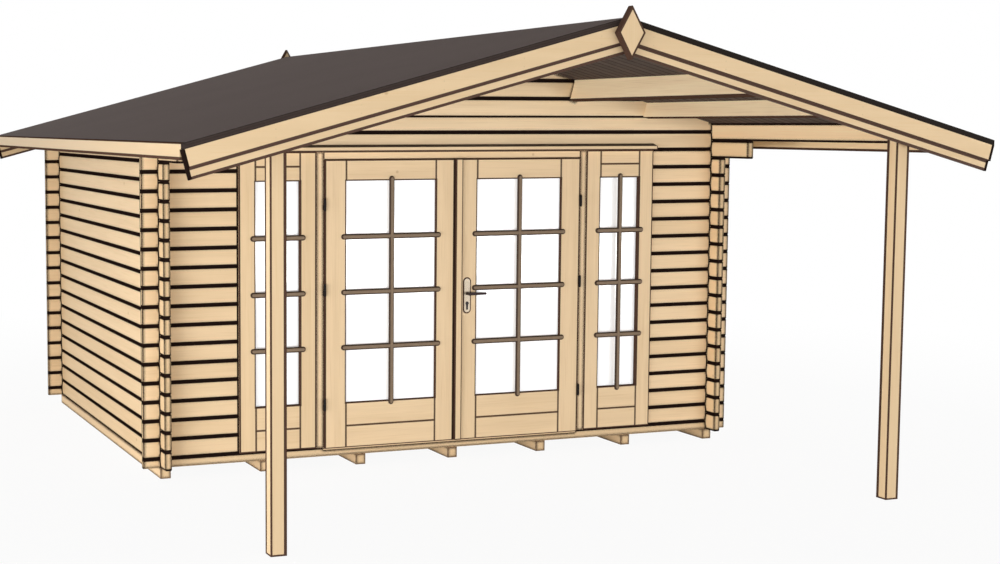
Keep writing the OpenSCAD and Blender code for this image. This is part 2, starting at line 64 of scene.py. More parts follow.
# Dark brown of the ink lines, also used as painted shade on purlin undersides, door edges, the sides of
# pane openings and under the verge boards
INK_AND_SHADE_BROWN = (0.080, 0.044, 0.031)
ROOF_TOP = (0.090, 0.064, 0.056)
ROOF_PALE = (0.112, 0.080, 0.071)
ROOF_EDGE = (0.012, 0.008, 0.006)
# Dark brown of the roof boards: painted shade under the roof
BOARDING_PAINTED_SHADE = (0.045, 0.031, 0.026)
BOARDING_PALE_PAINTED_SHADE = (0.075, 0.054, 0.046)
# Dark of the drip board's sloping top: painted shade
DRIP_TOP_PAINTED_SHADE = (0.050, 0.034, 0.026)
BAR_FACE = (0.270, 0.195, 0.130)
# Dark of the glazing bars' moulded sides: painted shade
BAR_SIDE_PAINTED_SHADE = (0.070, 0.043, 0.030)
HINGE = (0.005, 0.003, 0.003)
PLATE = (0.520, 0.440, 0.330)
LEVER = (0.018, 0.008, 0.007)
SCREW = (0.520, 0.400, 0.240)
PANE_WHITE = (0.930, 0.945, 0.950)
PANE_PALE = (0.960, 0.965, 0.965)
FLOOR_TONE = (0.920, 0.920, 0.920)
WHITE = (1.0, 1.0, 1.0)

# ---------------------------------------------------------------- dark lines, in metres
# Reach of the rounding that finds the edges of a piece: its dark line is about a third as wide
REACH_LOG = 0.036
REACH_TRIM = 0.034
REACH_SIDE_PURLIN = 0.004
REACH_FRAME = 0.010
REACH_BOARDING = 0.010
REACH_FLOOR = 0.008
REACH_ROOF = 0.012
REACH_PLATE = 0.055
# Half of the dark line over the joint between two courses, and its soft border
JOINT_INK = 0.0135
JOINT_INK_FINE = 0.0075
JOINT_SOFT = 0.0008
# Along an outline, round a pane, where two walls meet and beside the left and the right window
OUTLINE = 0.009
OPENING_INK = 0.009
CORNER_INK = 0.006
LEFT_WINDOW_INK = 0.012
RIGHT_WINDOW_INK = 0.002
# Outlines of the smaller pieces of the front unit, and along the foot of a door leaf
HEAD_LINE = 0.006
THRESHOLD_LINE = 0.002
STRIP_LINE = 0.007
LEAF_FOOT_LINE = 0.005
# Half of the line over a joint of stiles and rails, and how much of the ink it gets
RAIL_INK = 0.0065
RAIL_SHARE = 0.85
# At the cut ends of the verge boards, round those of the logs, round the diamonds and along the
# feet of the inner purlins
TIP_INK = 0.018
END_INK = 0.013
DIAMOND_INK = 0.011
PURLIN_INK = 0.009
# Along the foot of the barge boards, whose undersides are painted dark as shade, and above and below
# the foot of the cap boards, where the part below is a painted shadow of the cap on the barge
BARGE_INK_AND_SHADE = 0.015
CAP_INK_ABOVE = 0.006
CAP_SHADOW_BELOW = 0.014
# Low and high lines along each axis of the posts and of the eave boards
POST_LINES = ((0.009, 0.018), (0.008, 0.025), (0.010, 0.010))
EAVE_LINES = ((OUTLINE, OUTLINE), (OUTLINE, OUTLINE), (0.016, 0.009))
# How much of the ink the felt gets where it turns down over the front and rear, left and right
LEFT_VERGE_INK = 0.65
RIGHT_VERGE_INK = 1.0
# Strength of the grain's bump, and roughness of logs and of planed wood
GRAIN_BUMP = 0.10
LOG_ROUGHNESS = 0.65
TRIM_ROUGHNESS = 0.60
# How much paler the faces are that look inwards under the roof: painted light against the roof's shade
LOG_PAINTED_LIGHT = 1.22
POST_PAINTED_LIGHT = 1.25
EAVE_PAINTED_LIGHT = 1.72

# ---------------------------------------------------------------- sizes and places
# Full courses in a side wall below its plate, height of the lowest gable log, and roof pitch
SIDE_COURSES = 17
GABLE_LOG = 0.1045
PITCH = math.radians(15.0)
# Thickness of the roof boards, width and gap of all boards, and their chamfers
BOARD_T = 0.018
BOARD_W = 0.096
BOARD_GAP = 0.001
ROOF_CHAMFER = 0.006
FLOOR_CHAMFER = 0.002
# Depth under the roof boards at which the barge boards and the cap boards end
BARGE_W = 0.155
CAP_W = 0.094
# How far a pane reaches into its frame, and its play there
PANE_BITE = 0.010
PANE_PLAY = 0.0005
# Glazing bars: widths at the back and at the flat front, depth of the straight part and of the whole,
# step of a level bar under an upright one, and laps on a frame's stiles and rails
BAR_W = 0.036
BAR_FLAT = 0.019
BAR_STRAIGHT = 0.004
BAR_D = 0.014
BAR_STEP = 0.001
BAR_LAP_SIDE = 0.036
BAR_LAP_END = 0.030
# Part of a door's edge that stands in front of its frame; its side faces there are painted dark as the
# shade of the gap
LEAF_LIP = 0.026
# Distance from the middle to just inside the outer purlins, and depth of the inner ones
OUTER_PURLIN = 1.36
INNER_PURLIN_D = 0.140
# Distance from a side wall at which a gable's edge lines begin again beyond the outer purlins
GABLE_EDGE = 0.03
# Distance from the glass to the joint between two rails below it and above it
RAIL_BELOW = 0.155
RAIL_ABOVE = 0.095
# Level distance between the laps of the roofing sheet, and the part of it that shows as a line
SHEET_LAP = 0.90
LAP_LINE = 0.006
# Screws: radius of a head; spacing along a verge, first place and depths under the roof boards;
# inset from the ends of a handle plate
SCREW_R = 0.0035
SCREW_SPACING = 0.46
SCREW_FIRST = 0.16
SCREW_DROPS = (0.028, 0.070)
PLATE_SCREW_INSET = 0.013
# Keyhole: drop below the lever, radii of its round head and foot, and drop of the foot
KEY_DROP = 0.066
KEY_HEAD_R = 0.0082
KEY_FOOT_R = 0.0047
KEY_FOOT_DROP = 0.0240
# Depths and sizes of the rings that make a lock cylinder and of those that make a screw head
LOCK_RINGS = ((-0.0035, 1.0), (0.0, 1.0), (0.0, 1.55), (0.0018, 1.50))
SCREW_RINGS = ((-0.001, 1.0), (0.0004, 1.0), (0.0012, 0.6), (0.0015, 0.25))


def span(node, axis):
    """Lowest and highest place of a node along one axis."""
    low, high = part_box(node)
    return low[axis], high[axis]


# Heights of the courses, of the lowest gable log and of the fine joint over it
LOG_BASE, SIDE_TOP = span("right_wall", 2)
COURSE = (SIDE_TOP - LOG_BASE) / SIDE_COURSES
HALF_COURSE = COURSE / 2
GABLE_Z = LOG_BASE + SIDE_COURSES * COURSE + HALF_COURSE
GABLE_FINE_Z = GABLE_Z + GABLE_LOG
# Faces of the walls, and of the window frames and door leaves from the front to the back
WALL_INNER, WALL_OUTER = span("right_wall", 0)
FRONT_OUTER, FRONT_INNER = span("front_wall_left", 1)
BACK_INNER, BACK_OUTER = span("back_wall", 1)
FRAME_FACES = span("window_frame_right", 1)
LEAF_FACES = span("right_leaf", 1)
WINDOW_OUTER = span("window_frame_right", 0)[1]
# Height at the ridge of the plane under the roof boards
RIDGE_Z = span("roof_boards_right", 2)[0] + span("roof_boards_right", 0)[1] * math.tan(PITCH)


def slope_reach(node):
    """How far a node runs down its slope from the ridge."""
    points = [point.co for point in NODES[node].data.vertices]
    return max(abs(p.x) * math.cos(PITCH) + (RIDGE_Z - p.z) * math.sin(PITCH) for p in points)


def glass_of_leaf(side):
    """Range of x of the glass in a door leaf."""
    low, high = span(side + "_leaf_pane", 0)
    return low + PANE_BITE, high - PANE_BITE


def glass_of_window(side):
    """Range of x of the glass in a fixed window, whose two stiles are alike."""
    low, high = span("window_frame_right", 0)
    stile = high - span("window_panes", 0)[1] + PANE_BITE
    if side == "right":
        return low + stile, high - stile
    return -(high - stile), -(low + stile)


# Heights of the foot and the top of the glass in windows and doors
GLASS_Z = (
    span("window_panes", 2)[0] + PANE_BITE + PANE_PLAY,
    span("window_panes", 2)[1] - PANE_BITE,
)


# ---------------------------------------------------------------- shader building
# Least part of a face's normal along an axis that makes the face count as square to it
SQUARE = 0.7


class Shader:
    """A new material with short calls for its nodes."""

    def __init__(self, name):
        self.material = bpy.data.materials.new(name)
        self.material.use_nodes = True
        self.tree = self.material.node_tree
        self.surface = self.tree.nodes["Principled BSDF"]

    def add(self, kind, **values):
        """A new node with some of its settings."""
        node = self.tree.nodes.new(kind)
        for key, value in values.items():
            setattr(node, key, value)
        return node

    def put(self, socket, value):
        """Sets a socket to a number or a colour, or links it to another socket."""
        if isinstance(value, (int, float)):
            socket.default_value = value
        elif isinstance(value, tuple):
            socket.default_value = (*value, 1.0) if len(socket.default_value) == 4 else value
        else:
            self.tree.links.new(value, socket)

    def math(self, operation, *values):
        """One sum on numbers or sockets."""
        node = self.add("ShaderNodeMath", operation=operation)
        for socket, value in zip(node.inputs, values):
            self.put(socket, value)
        return node.outputs[0]

    def mix(self, factor, first, second, blend="MIX"):
        """The first colour where the factor is 0 and the second where it is 1."""
        node = self.add("ShaderNodeMix", data_type="RGBA", blend_type=blend)
        for index, value in zip((0, 6, 7), (factor, first, second)):
            self.put(node.inputs[index], value)
        return node.outputs[2]

    def ramp(self, value, low, high):
        """0 at low and 1 at high, straight between them and clamped outside."""
        node = self.add("ShaderNodeMapRange", clamp=True)
        self.put(node.inputs["Value"], value)
        self.put(node.inputs["From Min"], low)
        self.put(node.inputs["From Max"], high)
        return node.outputs["Result"]

    def coords(self, scale=(1.0, 1.0, 1.0)):
        """Place in the frame at rest, scaled along each axis."""
        mapping = self.add("ShaderNodeMapping")
        self.put(mapping.inputs["Vector"], self.add("ShaderNodeTexCoord").outputs["Object"])
        self.put(mapping.inputs["Scale"], scale)
        return mapping.outputs["Vector"]

    def part(self, vector, axis):
        """One of a vector's three parts."""
        node = self.add("ShaderNodeSeparateXYZ")
        self.put(node.inputs[0], vector)
        return node.outputs[axis]

    def place(self, axis):
        """Place along one axis of the frame, in metres at rest."""
        return self.part(self.add("ShaderNodeTexCoord").outputs["Object"], axis)

    def facing(self, axis):
        """How squarely a face looks along one axis, with its sign."""
        return self.part(self.add("ShaderNodeTexCoord").outputs["Normal"], axis)

    def noise(self, vector, scale=1.0, detail=2.0):
        """Smooth noise from 0 to 1."""
        node = self.add("ShaderNodeTexNoise")
        self.put(node.inputs["Vector"], vector)
        self.put(node.inputs["Scale"], scale)
        self.put(node.inputs["Detail"], detail)
        return node.outputs["Fac"]

    def edges(self, reach):
        """1 close to the edges of a piece, where a rounded edge would turn the normal."""
        turned, flat = 0.925, 0.985
        rounded = self.add("ShaderNodeBevel", samples=6)
        rounded.inputs["Radius"].default_value = reach
        dot = self.add("ShaderNodeVectorMath", operation="DOT_PRODUCT")
        self.put(dot.inputs[0], rounded.outputs["Normal"])
        self.put(dot.inputs[1], self.add("ShaderNodeNewGeometry").outputs["True Normal"])
        return self.without(self.ramp(dot.outputs["Value"], turned, flat))

    def distance(self, axis):
        """Distance from the middle of the frame along one axis."""
        return self.math("ABSOLUTE", self.place(axis))

    def square_to(self, axis):
        """1 on the faces that are square to one axis."""
        return self.math("GREATER_THAN", self.math("ABSOLUTE", self.facing(axis)), SQUARE)

    def without(self, mask):
        """1 where a mask is 0."""
        return self.math("SUBTRACT", 1.0, mask)

    def between(self, value, low, high):
        """1 where a value lies between two limits."""
        above = self.math("GREATER_THAN", value, low)
        below = self.math("LESS_THAN", value, high)
        return self.math("MULTIPLY", above, below)

    def most(self, *values):
        """The greatest of several masks."""
        result = values[0]
        for value in values[1:]:
            result = self.math("MAXIMUM", result, value)
        return result

    def bump(self, height, strength, distance=0.001):
        """Tilts the surface by a height."""
        node = self.add("ShaderNodeBump")
        self.put(node.inputs["Strength"], strength)
        self.put(node.inputs["Distance"], distance)
        self.put(node.inputs["Height"], height)
        self.put(self.surface.inputs["Normal"], node.outputs["Normal"])

    def inked(self, body, lines, ink, roughness, specular=0.08):
        """Finishes a body colour under dark lines, which have no gloss."""
        gloss = self.math("MULTIPLY", self.without(lines), specular)
        return self.finish(self.mix(lines, body, ink), roughness, gloss)

    def finish(self, colour, roughness, specular=0.08, metallic=0.0):
        """Sets the surface and gives back the material."""
        self.put(self.surface.inputs["Base Color"], colour)
        self.put(self.surface.inputs["Roughness"], roughness)
        self.put(self.surface.inputs["Specular IOR Level"], specular)
        self.put(self.surface.inputs["Metallic"], metallic)
        return self.material


# ---------------------------------------------------------------- wood
def grain_scale(axis, along, across):
    """Noise scale on each axis for grain that runs along one of them."""
    return tuple(along if i == axis else across for i in range(3))


def either(shader, inside, first, second):
    """The second value inside a mask and the first outside it."""
    node = shader.add("ShaderNodeMix", data_type="FLOAT")
    shader.put(node.inputs[0], inside)
    shader.put(node.inputs[2], first)
    shader.put(node.inputs[3], second)
    return node.outputs[0]


def grain_noise(shader, axis, rails, along, across, detail):
    """Noise drawn out along the grain, which turns to x between the stiles of a frame."""
    upright = shader.noise(shader.coords(grain_scale(axis, along, across)), 1.0, detail)
    if rails is None:
        return upright
    level = shader.noise(shader.coords(grain_scale(0, along, across)), 1.0, detail)
    return either(shader, shader.between(shader.place(0), *rails), upright, level)


def outline(shader, node, widths):
    """1 along the twelve edges of a board; widths is one width, or a low and a high one per axis."""
    low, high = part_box(node)
    if isinstance(widths, float):
        widths = ((widths, widths),) * 3
    total = 0.0
    for axis, (start, end) in enumerate(widths):
        place = shader.place(axis)
        inside = shader.between(place, low[axis] + start, high[axis] - end)
        total = shader.math("ADD", total, shader.without(inside))
    return shader.math("GREATER_THAN", total, 1.5)


def opening(shader, glass_x, rim):
    """1 round a pane: the sides of its opening, painted dark as shade in the recess, and an ink rim on
    the frame's faces.
    """
    across = shader.between(shader.place(0), glass_x[0] - rim, glass_x[1] + rim)
    upright = shader.between(shader.place(2), GLASS_Z[0] - rim, GLASS_Z[1] + rim)
    return shader.math("MULTIPLY", across, upright)


def rail_joints(shader, glass_x, above):
    """Part of the ink over the joints of the rails round a pane, at their ends and between two."""
    x, z = shader.place(0), shader.place(2)
    beyond = shader.without(shader.between(z, *GLASS_Z))
    left = shader.between(x, glass_x[0] - RAIL_INK, glass_x[0] + RAIL_INK)
    right = shader.between(x, glass_x[1] - RAIL_INK, glass_x[1] + RAIL_INK)
    upright = shader.math("MULTIPLY", shader.most(left, right), beyond)
    low = GLASS_Z[0] - RAIL_BELOW
    level = shader.between(z, low - RAIL_INK, low + RAIL_INK)
    if above:
        high = GLASS_Z[1] + RAIL_ABOVE
        level = shader.most(level, shader.between(z, high - RAIL_INK, high + RAIL_INK))
    level = shader.math("MULTIPLY", level, shader.between(x, *glass_x))
    return shader.math("MULTIPLY", shader.most(upright, level), RAIL_SHARE)


def log_edges(shader, axis, gable):
    """1 along the edges of logs, but for a gable's from its outer purlins to near the side walls."""
    edges = shader.edges(REACH_LOG)
    if axis == 1:
        return edges
    if gable:
        beside = shader.between(shader.distance(0), OUTER_PURLIN, WALL_INNER - GABLE_EDGE)
        return shader.math("MULTIPLY", edges, shader.without(beside))
    front = shader.between(shader.place(1), FRONT_OUTER + END_INK, FRONT_INNER - END_INK)
    back = shader.between(shader.place(1), BACK_INNER + END_INK, BACK_OUTER - END_INK)
    rim = shader.without(shader.most(front, back))
    return shader.most(edges, shader.math("MULTIPLY", shader.square_to(0), rim))


def corner_lines(shader, axis, window_ink):
    """1 in the corners between walls, and over the width window_ink beside a window frame."""
    width = CORNER_INK
    place = shader.place(axis)
    if axis == 0:
        place = shader.math("ABSOLUTE", place)
        inner = shader.between(place, WALL_INNER - width, WALL_INNER + width / 2)
        outer = shader.between(place, WALL_OUTER - width / 2, WALL_OUTER + width)
        if not window_ink:
            return shader.most(inner, outer)
        beside_window = shader.between(place, WINDOW_OUTER, WINDOW_OUTER + window_ink)
        return shader.most(inner, outer, beside_window)
    front = shader.between(place, FRONT_OUTER - width, FRONT_OUTER)
    front_inside = shader.between(place, FRONT_INNER, FRONT_INNER + width)
    back_inside = shader.between(place, BACK_INNER - width, BACK_INNER)
    back = shader.between(place, BACK_OUTER, BACK_OUTER + width)
    return shader.most(front, front_inside, back_inside, back)


def planed_wood(shader, axis, tone, rails=None):
    """Colour of planed softwood, and the noise of its fine grain."""
    fine = grain_noise(shader, axis, rails, along=3.0, across=150.0, detail=5.0)
    broad = grain_noise(shader, axis, rails, along=0.9, across=16.0, detail=3.0)
    grain_share, lift, streak_share = 0.14, 1.04, 0.30
    darker = tuple((1.0 - grain_share) * t + grain_share * g for t, g in zip(tone, GRAIN))
    paler = tuple(min(1.0, lift * t) for t in tone)
    body = shader.mix(shader.ramp(broad, 0.38, 0.66), paler, darker)
    streaks = shader.math("MULTIPLY", shader.ramp(fine, 0.52, 0.74), streak_share)
    body = shader.mix(streaks, body, GRAIN)
    return with_knots(shader, body), fine


def with_knots(shader, body):
    """Small faint knots, kept in about one cell of four."""
    cells_per_metre, eye_radius, border, dropped, strength = 5.0, 0.035, 0.070, 0.72, 0.35
    cells = shader.add("ShaderNodeTexVoronoi")
    shader.put(cells.inputs["Vector"], shader.coords())
    shader.put(cells.inputs["Scale"], cells_per_metre)
    eye = shader.without(shader.ramp(cells.outputs["Distance"], eye_radius, border))
    kept = shader.math("GREATER_THAN", shader.part(cells.outputs["Color"], 0), dropped)
    amount = shader.math("MULTIPLY", shader.math("MULTIPLY", eye, kept), strength)
    return shader.mix(amount, body, KNOT)


def end_grain(shader, axis, body):
    """Growth rings on the faces that cut the grain."""
    wander, slant, rings_rate = 0.020, 0.6, 1100.0
    late_wood, early_wood = (0.90, 0.86, 0.80), (1.0, 0.99, 0.97)
    other = 1 - axis if axis < 2 else 0
    bow = shader.math("MULTIPLY", shader.noise(shader.coords(), 22.0, 2.0), wander)
    rise = shader.math("ADD", shader.place(2), bow)
    tilt = shader.math("MULTIPLY", shader.place(other), slant)
    turns = shader.math("MULTIPLY", shader.math("ADD", rise, tilt), rings_rate)
    rings = shader.ramp(shader.math("SINE", turns), -1.0, 1.0)
    ring_colour = shader.mix(rings, late_wood, early_wood)
    ringed = shader.mix(1.0, body, ring_colour, blend="MULTIPLY")
    return shader.mix(shader.square_to(axis), body, ringed)


def course_offset(shader, first, gable):
    """Height over a joint of the pattern; a gable's upper logs follow a pattern of their own."""
    height = shader.math("SUBTRACT", shader.place(2), first)
    if not gable:
        return height
    upper = shader.math("GREATER_THAN", shader.place(2), (GABLE_Z + GABLE_FINE_Z) / 2)
    shift = shader.math("MULTIPLY", upper, GABLE_FINE_Z - first)
    return shader.math("SUBTRACT", height, shift)


def by_row(shader, value, width):
    """A number from 0 to 1 that changes from row to row."""
    chance = shader.add("ShaderNodeTexWhiteNoise", noise_dimensions="1D")
    shader.put(chance.inputs["W"], shader.math("FLOOR", shader.math("DIVIDE", value, width)))
    return chance.outputs["Value"]


def course_tint(shader, body, height):
    """Each course has a slightly different tone."""
    chance = by_row(shader, height, COURSE)
    tint = shader.mix(chance, COURSE_DARK, WHITE)
    return shader.mix(1.0, body, tint, blend="MULTIPLY")


def joint_mask(shader, height, gable):
    """1 over the V joint between two courses."""
    share = shader.math("FRACT", shader.math("DIVIDE", height, COURSE))
    nearest = shader.math("MINIMUM", share, shader.without(share))
    away = shader.math("MULTIPLY", nearest, COURSE)
    if gable:
        from_fine = shader.math("ABSOLUTE", shader.math("SUBTRACT", shader.place(2), GABLE_FINE_Z))
        fine = shader.math("LESS_THAN", from_fine, HALF_COURSE / 2)
        extra = shader.math("MULTIPLY", fine, JOINT_INK - JOINT_INK_FINE)
        away = shader.math("ADD", away, extra)
    return shader.without(shader.ramp(away, JOINT_INK - JOINT_SOFT, JOINT_INK + JOINT_SOFT))


def painted_light_inside(shader, body, lift):
    """Painted light: paler on the faces that look towards the middle of the cabin, where the roof
    shades them.
    """
    outward = shader.math("MULTIPLY", shader.place(0), shader.facing(0))
    inward = shader.math("LESS_THAN", outward, -0.5)
    amount = shader.math("ADD", 1.0, shader.math("MULTIPLY", inward, lift - 1.0))
    scale = shader.add("ShaderNodeVectorMath", operation="SCALE")
    shader.put(scale.inputs[0], body)
    shader.put(scale.inputs["Scale"], amount)
    return scale.outputs[0]


def log_wood(name, axis, first, gable=False, window_ink=0.0, tone=WOOD):
    """Stacked logs: a dark line in each V joint and at the ends of the logs.

    first is the height of one joint of the pattern.
    """
    shader = Shader(name)
    height = course_offset(shader, first, gable)
    body, fine = planed_wood(shader, axis, tone)
    body = end_grain(shader, axis, course_tint(shader, body, height))
    # Inward faces of the side walls are made paler: painted light under the roof's shade
    if axis == 1:
        body = painted_light_inside(shader, body, LOG_PAINTED_LIGHT)
    corners = corner_lines(shader, axis, window_ink)
    lines = shader.most(log_edges(shader, axis, gable), joint_mask(shader, height, gable), corners)
    shader.bump(fine, GRAIN_BUMP)
    return shader.inked(body, lines, INK, LOG_ROUGHNESS)


def beam_wood(name, axis, tone=WOOD, reach=REACH_TRIM):
    """Boards or beams with dark edges."""
    shader = Shader(name)
    body, fine = planed_wood(shader, axis, tone)
    body = end_grain(shader, axis, body)
    shader.bump(fine, GRAIN_BUMP)
    return shader.inked(body, shader.edges(reach), INK_AND_SHADE_BROWN, TRIM_ROUGHNESS)


def roof_depth(shader):
    """Depth under the roof boards, square to the slope."""
    fall = shader.math("MULTIPLY", shader.distance(0), math.tan(PITCH))
    drop = shader.math("SUBTRACT", shader.math("SUBTRACT", RIDGE_Z, shader.place(2)), fall)
    return shader.math("MULTIPLY", drop, math.cos(PITCH))


def purlin_wood(name, reach):
    """Purlins with undersides painted dark as shade, and a line along the feet of the ridge and inner
    purlins.
    """
    shader = Shader(name)
    body, fine = planed_wood(shader, 1, WOOD_INNER_PAINTED_LIGHT)
    body = end_grain(shader, 1, body)
    # Faces that look down are painted dark: painted shade under the purlins
    painted_shade_under = shader.math("LESS_THAN", shader.facing(2), -SQUARE)
    lines = shader.most(shader.edges(reach), painted_shade_under)
    inner = shader.math("LESS_THAN", shader.distance(0), OUTER_PURLIN)
    foot = shader.math("GREATER_THAN", roof_depth(shader), INNER_PURLIN_D - PURLIN_INK)
    lines = shader.most(lines, shader.math("MULTIPLY", inner, foot))
    shader.bump(fine, GRAIN_BUMP)
    return shader.inked(body, lines, INK_AND_SHADE_BROWN, TRIM_ROUGHNESS)


def verge_wood():
    """Barge and cap boards, with dark cut ends and dark lines along their lower edges: ink lines, with
    painted shade on the barge's underside and a painted shadow of the cap on the barge.
    """
    shader = Shader("verge_wood")
    body, fine = planed_wood(shader, 0, WOOD_PAINTED_SHADE)
    depth = roof_depth(shader)
    # Ink along the barge's foot, and painted shade over its underside
    barge_foot_ink_and_shade = shader.math("GREATER_THAN", depth, BARGE_W - BARGE_INK_AND_SHADE)
    # Ink on the cap's foot, and below it a painted shadow of the cap on the barge
    cap_foot_ink_and_shadow = shader.between(depth, CAP_W - CAP_INK_ABOVE, CAP_W + CAP_SHADOW_BELOW)
    across = shader.math("MULTIPLY", shader.distance(0), math.cos(PITCH))
    drop = shader.math("SUBTRACT", RIDGE_Z, shader.place(2))
    along = shader.math("ADD", across, shader.math("MULTIPLY", drop, math.sin(PITCH)))
    tips = shader.math("GREATER_THAN", along, slope_reach("barge_boards_front") - TIP_INK)
    shader.bump(fine, GRAIN_BUMP)
    body = shader.mix(shader.most(barge_foot_ink_and_shade, cap_foot_ink_and_shadow), body, INK_AND_SHADE_BROWN)
    return shader.inked(body, shader.most(shader.square_to(0), tips), INK, TRIM_ROUGHNESS)


def diamond_wood():
    """The ridge diamonds, with dark sides and outline."""
    shader = Shader("diamond_wood")
    body, fine = planed_wood(shader, 2, WOOD_PAINTED_SHADE)
    sides = shader.math("LESS_THAN", shader.math("ABSOLUTE", shader.facing(1)), 0.5)
    low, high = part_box("ridge_diamond_front")
    half_w, half_h = high.x, (high.z - low.z) / 2
    rise = shader.math("ABSOLUTE", shader.math("SUBTRACT", shader.place(2), low.z + half_h))
    across = shader.math("DIVIDE", shader.distance(0), half_w)
    share = shader.math("ADD", across, shader.math("DIVIDE", rise, half_h))
    inner = 1.0 - DIAMOND_INK * math.hypot(half_w, half_h) / (half_w * half_h)
    lines = shader.most(sides, shader.math("GREATER_THAN", share, inner))
    shader.bump(fine, GRAIN_BUMP)
    return shader.inked(body, lines, INK_AND_SHADE_BROWN, TRIM_ROUGHNESS)


def board_wood(node, axis, tone=WOOD, widths=OUTLINE, lift=None):
    """A single board or post, outlined along its twelve edges."""
    shader = Shader(node + "_wood")
    body, fine = planed_wood(shader, axis, tone)
    body = end_grain(shader, axis, body)
    # Inward faces are made paler where a lift is given: painted light under the roof's shade
    if lift is not None:
        body = painted_light_inside(shader, body, lift)
    shader.bump(fine, GRAIN_BUMP)
    return shader.inked(body, outline(shader, node, widths), INK_AND_SHADE_BROWN, TRIM_ROUGHNESS)


def round_plate(shader, rim):
    """1 round the handle plates, over a rim outside them."""
    low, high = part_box("handle_plates")
    radius = (high.x - low.x) / 2
    half_line = (high.z - low.z) / 2 - radius
    across = shader.math("SUBTRACT", shader.place(0), (low.x + high.x) / 2)
    along = shader.math("ABSOLUTE", shader.math("SUBTRACT", shader.place(2), (low.z + high.z) / 2))
    beyond = shader.math("MAXIMUM", shader.math("SUBTRACT", along, half_line), 0.0)
    square = shader.math("ADD", shader.math("POWER", across, 2.0), shader.math("POWER", beyond, 2.0))
    return shader.math("LESS_THAN", square, (radius + rim) ** 2)


def frame_wood(node, glass_x, tone=WOOD_PAINTED_LIGHT):
    """Stiles and rails round a pane, with dark joints, outline and opening."""
    shader = Shader(node + "_wood")
    body, fine = planed_wood(shader, 2, tone, rails=glass_x)
    # The sides of the pane's opening are painted dark: painted shade in the recess
    rim = opening(shader, glass_x, OPENING_INK)
    is_leaf = node.endswith("leaf")
    pair = (OUTLINE, OUTLINE)
    foot = LEAF_FOOT_LINE if is_leaf else OUTLINE
    around = outline(shader, node, (pair, pair, (foot, OUTLINE)))
    joints = rail_joints(shader, glass_x, above=not is_leaf)
    lines = shader.most(shader.edges(REACH_FRAME), around, joints, rim)
    if is_leaf:
        # The side faces of the door's edge in front of the frame are painted dark: painted shade of the
        # gap
        painted_shade_lip = shader.math("LESS_THAN", shader.place(1), LEAF_FACES[0] + LEAF_LIP)
        lines = shader.most(lines, shader.math("MULTIPLY", shader.square_to(0), painted_shade_lip))
    if node == "right_leaf":
        lines = shader.most(lines, round_plate(shader, OUTLINE))
    shader.bump(fine, GRAIN_BUMP)
    return shader.inked(body, lines, INK_AND_SHADE_BROWN, TRIM_ROUGHNESS)


def drip_wood():
    """The drip board, with its sloping top painted dark as shade."""
    shader = Shader("drip_wood")
    body, fine = planed_wood(shader, 0, WOOD_PAINTED_LIGHT)
    body = shader.mix(outline(shader, "drip_board", HEAD_LINE), body, INK_AND_SHADE_BROWN)
    # Sloping top painted dark: painted shade over the drip board
    top = shader.ramp(shader.facing(2), 0.4, 0.6)
    shader.bump(fine, GRAIN_BUMP)
    return shader.finish(shader.mix(top, body, DRIP_TOP_PAINTED_SHADE), 0.55)


def boarding_wood():
    """Roof boards under the covering, coloured dark brown: painted shade, where the real boards would
    be pale wood shaded by the roof.
    """
    shader = Shader("roof_boarding")
    streaks = shader.noise(shader.coords(grain_scale(0, 3.0, 60.0)), 1.0, 4.0)
    chance = by_row(shader, shader.place(1), BOARD_W)
    share = shader.math("MULTIPLY", shader.math("ADD", streaks, chance), 0.5)
    shader.bump(streaks, 0.15)
    body = shader.mix(share, BOARDING_PAINTED_SHADE, BOARDING_PALE_PAINTED_SHADE)
    return shader.finish(shader.mix(shader.edges(REACH_BOARDING), body, ROOF_EDGE), 0.75, specular=0.2)


def bar_wood():
    """Glazing bars: a narrow pale face between moulded sides painted dark as shade."""
    shader = Shader("bar_wood")
    streaks = shader.noise(shader.coords(), 60.0, 3.0)
    front = shader.ramp(shader.math("ABSOLUTE", shader.facing(1)), 0.90, 0.96)
    face = shader.mix(streaks, BAR_FACE, tuple(0.8 * c for c in BAR_FACE))
    side = shader.mix(streaks, BAR_SIDE_PAINTED_SHADE, tuple(0.7 * c for c in BAR_SIDE_PAINTED_SHADE))
    shader.bump(streaks, 0.05)
    return shader.finish(shader.mix(front, side, face), 0.55)


# ---------------------------------------------------------------- roofing, metal and glass
def roofing(side, verge_ink):
    """Dark mineral roofing sheet in lengths laid along the eaves, darker where it turns down."""
    shader = Shader("roofing_" + side)
    grit = shader.noise(shader.coords(), 420.0, 3.0)
    patches = shader.noise(shader.coords(), 1.3, 2.0)
    worn_share, lap_share = 0.5, 0.25
    share = shader.math("FRACT", shader.math("DIVIDE", shader.distance(0), SHEET_LAP))
    lap_line = shader.without(shader.ramp(share, 0.0, LAP_LINE))
    body = shader.mix(shader.ramp(grit, 0.3, 0.7), ROOF_TOP, ROOF_PALE)
    worn = shader.math("MULTIPLY", shader.ramp(patches, 0.35, 0.65), worn_share)
    body = shader.mix(worn, body, ROOF_TOP)
    body = shader.mix(shader.math("MULTIPLY", lap_line, lap_share), body, ROOF_EDGE)
    verge = shader.ramp(shader.math("ABSOLUTE", shader.facing(1)), 0.8, 0.9)
    eave = shader.ramp(shader.math("ABSOLUTE", shader.facing(0)), 0.5, 0.6)
    dark = shader.most(shader.math("MULTIPLY", verge, verge_ink), eave, shader.edges(REACH_ROOF))
    shader.bump(shader.math("ADD", grit, share), 0.35)
    return shader.finish(shader.mix(dark, body, ROOF_EDGE), 0.88, specular=0.15)


